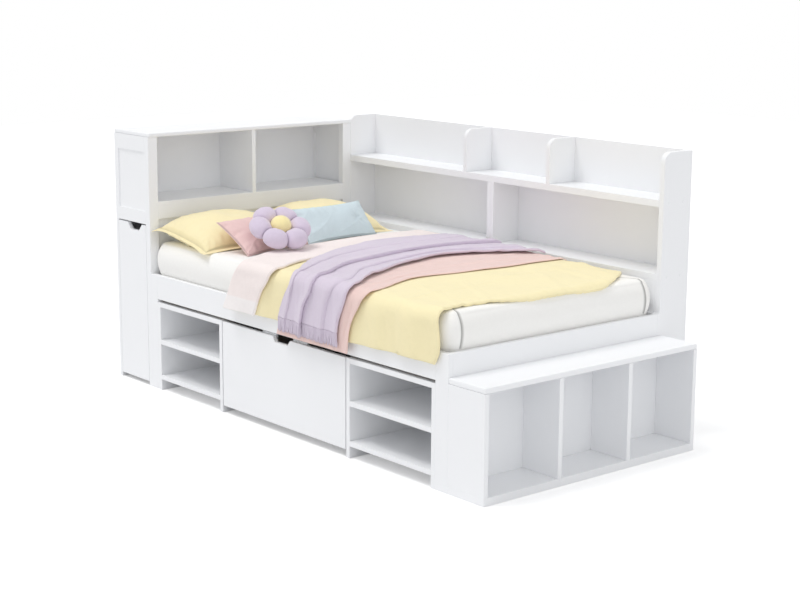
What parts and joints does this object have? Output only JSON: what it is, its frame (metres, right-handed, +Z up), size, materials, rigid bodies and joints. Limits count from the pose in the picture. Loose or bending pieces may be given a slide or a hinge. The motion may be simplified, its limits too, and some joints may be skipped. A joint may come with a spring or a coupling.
{
  "type": "bookcase headboard bed",
  "caption": "Twin bed with a bookcase headboard, side bookcase, foot bench shelves, under-bed shelf units, a rolling drawer, a pull-out rack and its bedding.",
  "frame": {"origin": "on the floor under the middle of the whole part's box", "axes": "+X from the headboard to the foot bench, +Y from the drawer side to the bookcase side, +Z up"},
  "size_m": [2.433, 1.3142, 1.142],
  "materials": {
    "painted_wood": "smooth satin white paint on board",
    "bare_pine": "planed bare pine",
    "zinc_steel": "zinc plated",
    "wheel_plastic": "moulded nylon",
    "bracket_plastic": "moulded nylon",
    "cap_plastic": "stick-on cap",
    "white_sheet": "fitted cotton sheet",
    "yellow_cotton": "soft cotton pillow case",
    "pink_cotton": "soft cotton cover",
    "blue_cotton": "soft cotton cover",
    "lavender_plush": "short velvet pile",
    "yellow_plush": "short velvet pile",
    "yellow_duvet": "brushed cotton, pale blush on its reverse",
    "lavender_knit": "fine woven throw with a fringe",
    "pink_knit": "fine woven throw"
  },
  "bodies": {
    "root": {"headboard_back_panel": "painted_wood", "headboard_posts": "painted_wood", "headboard_top": "painted_wood", "headboard_near_side": "painted_wood", "headboard_far_side": "painted_wood", "headboard_cubby_floor": "painted_wood", "headboard_divider": "painted_wood", "headboard_face_rail": "painted_wood", "headboard_face_panel": "painted_wood", "corner_posts": "painted_wood", "near_side_rail": "painted_wood", "far_side_rail": "painted_wood", "foot_board": "painted_wood", "head_unit_sides": "painted_wood", "head_unit_shelves": "painted_wood", "foot_unit_sides": "painted_wood", "foot_unit_shelves": "painted_wood", "unit_backs": "painted_wood", "bench_top": "painted_wood", "bench_base": "painted_wood", "bench_sides": "painted_wood", "bench_dividers": "painted_wood", "bench_back": "painted_wood", "bookcase_back_panel": "painted_wood", "bookcase_head_end": "painted_wood", "bookcase_foot_end": "painted_wood", "bookcase_upper_shelf": "painted_wood", "bookcase_centre_panels": "painted_wood", "bookcase_lower_shelves": "painted_wood", "bookcase_upper_dividers": "painted_wood", "slat_ledgers": "bare_pine", "centre_beam": "bare_pine", "beam_legs": "bare_pine", "slats": "bare_pine", "corner_plates": "zinc_steel", "screw_caps": "cap_plastic", "mattress": "white_sheet", "pillow_near": "yellow_cotton", "pillow_far": "yellow_cotton", "cushion_pink": "pink_cotton", "cushion_blue": "blue_cotton", "flower_cushion_petals": "lavender_plush", "flower_cushion_middle": "yellow_plush", "duvet": "yellow_duvet", "throw_lavender": "lavender_knit", "throw_pink": "pink_knit"},
    "drawer": {"drawer_front": "painted_wood", "drawer_sides": "painted_wood", "drawer_back": "painted_wood", "drawer_base": "painted_wood", "drawer_wheel_brackets": "bracket_plastic"},
    "drawer_front_axle": {"drawer_front_wheels": "wheel_plastic"},
    "drawer_rear_axle": {"drawer_rear_wheels": "wheel_plastic"},
    "pullout": {"pullout_front": "painted_wood", "pullout_side": "painted_wood", "pullout_back": "painted_wood", "pullout_shelves": "painted_wood", "pullout_wheel_brackets": "bracket_plastic"},
    "pullout_front_axle": {"pullout_front_wheels": "wheel_plastic"},
    "pullout_rear_axle": {"pullout_rear_wheels": "wheel_plastic"}
  },
  "joints": [
    {"name": "drawer_slide", "type": "slide", "parent": "root", "child": "drawer", "axis": [0, -1, 0], "range_m": [0, 0.38]},
    {"name": "drawer_front_wheel_turn", "type": "hinge", "parent": "drawer", "child": "drawer_front_axle", "pos_m": [0.0295, -0.53685, 0.021], "axis": [1, 0, 0], "range_deg": [0, 1060]},
    {"name": "drawer_rear_wheel_turn", "type": "hinge", "parent": "drawer", "child": "drawer_rear_axle", "pos_m": [0.0295, -0.17685, 0.021], "axis": [1, 0, 0], "range_deg": [0, 1060]},
    {"name": "pullout_slide", "type": "slide", "parent": "root", "child": "pullout", "axis": [0, -1, 0], "range_m": [0, 0.4]},
    {"name": "pullout_front_wheel_turn", "type": "hinge", "parent": "pullout", "child": "pullout_front_axle", "pos_m": [-1.0815, -0.53685, 0.021], "axis": [1, 0, 0], "range_deg": [0, 1110]},
    {"name": "pullout_rear_wheel_turn", "type": "hinge", "parent": "pullout", "child": "pullout_rear_axle", "pos_m": [-1.0815, -0.15685, 0.021], "axis": [1, 0, 0], "range_deg": [0, 1110]}
  ],
  "couplings": [
    {"joint": "drawer_front_wheel_turn", "follows": "drawer_slide", "rad_per_m": 47.619},
    {"joint": "drawer_rear_wheel_turn", "follows": "drawer_slide", "rad_per_m": 47.619},
    {"joint": "pullout_front_wheel_turn", "follows": "pullout_slide", "rad_per_m": 47.619},
    {"joint": "pullout_rear_wheel_turn", "follows": "pullout_slide", "rad_per_m": 47.619}
  ]
}
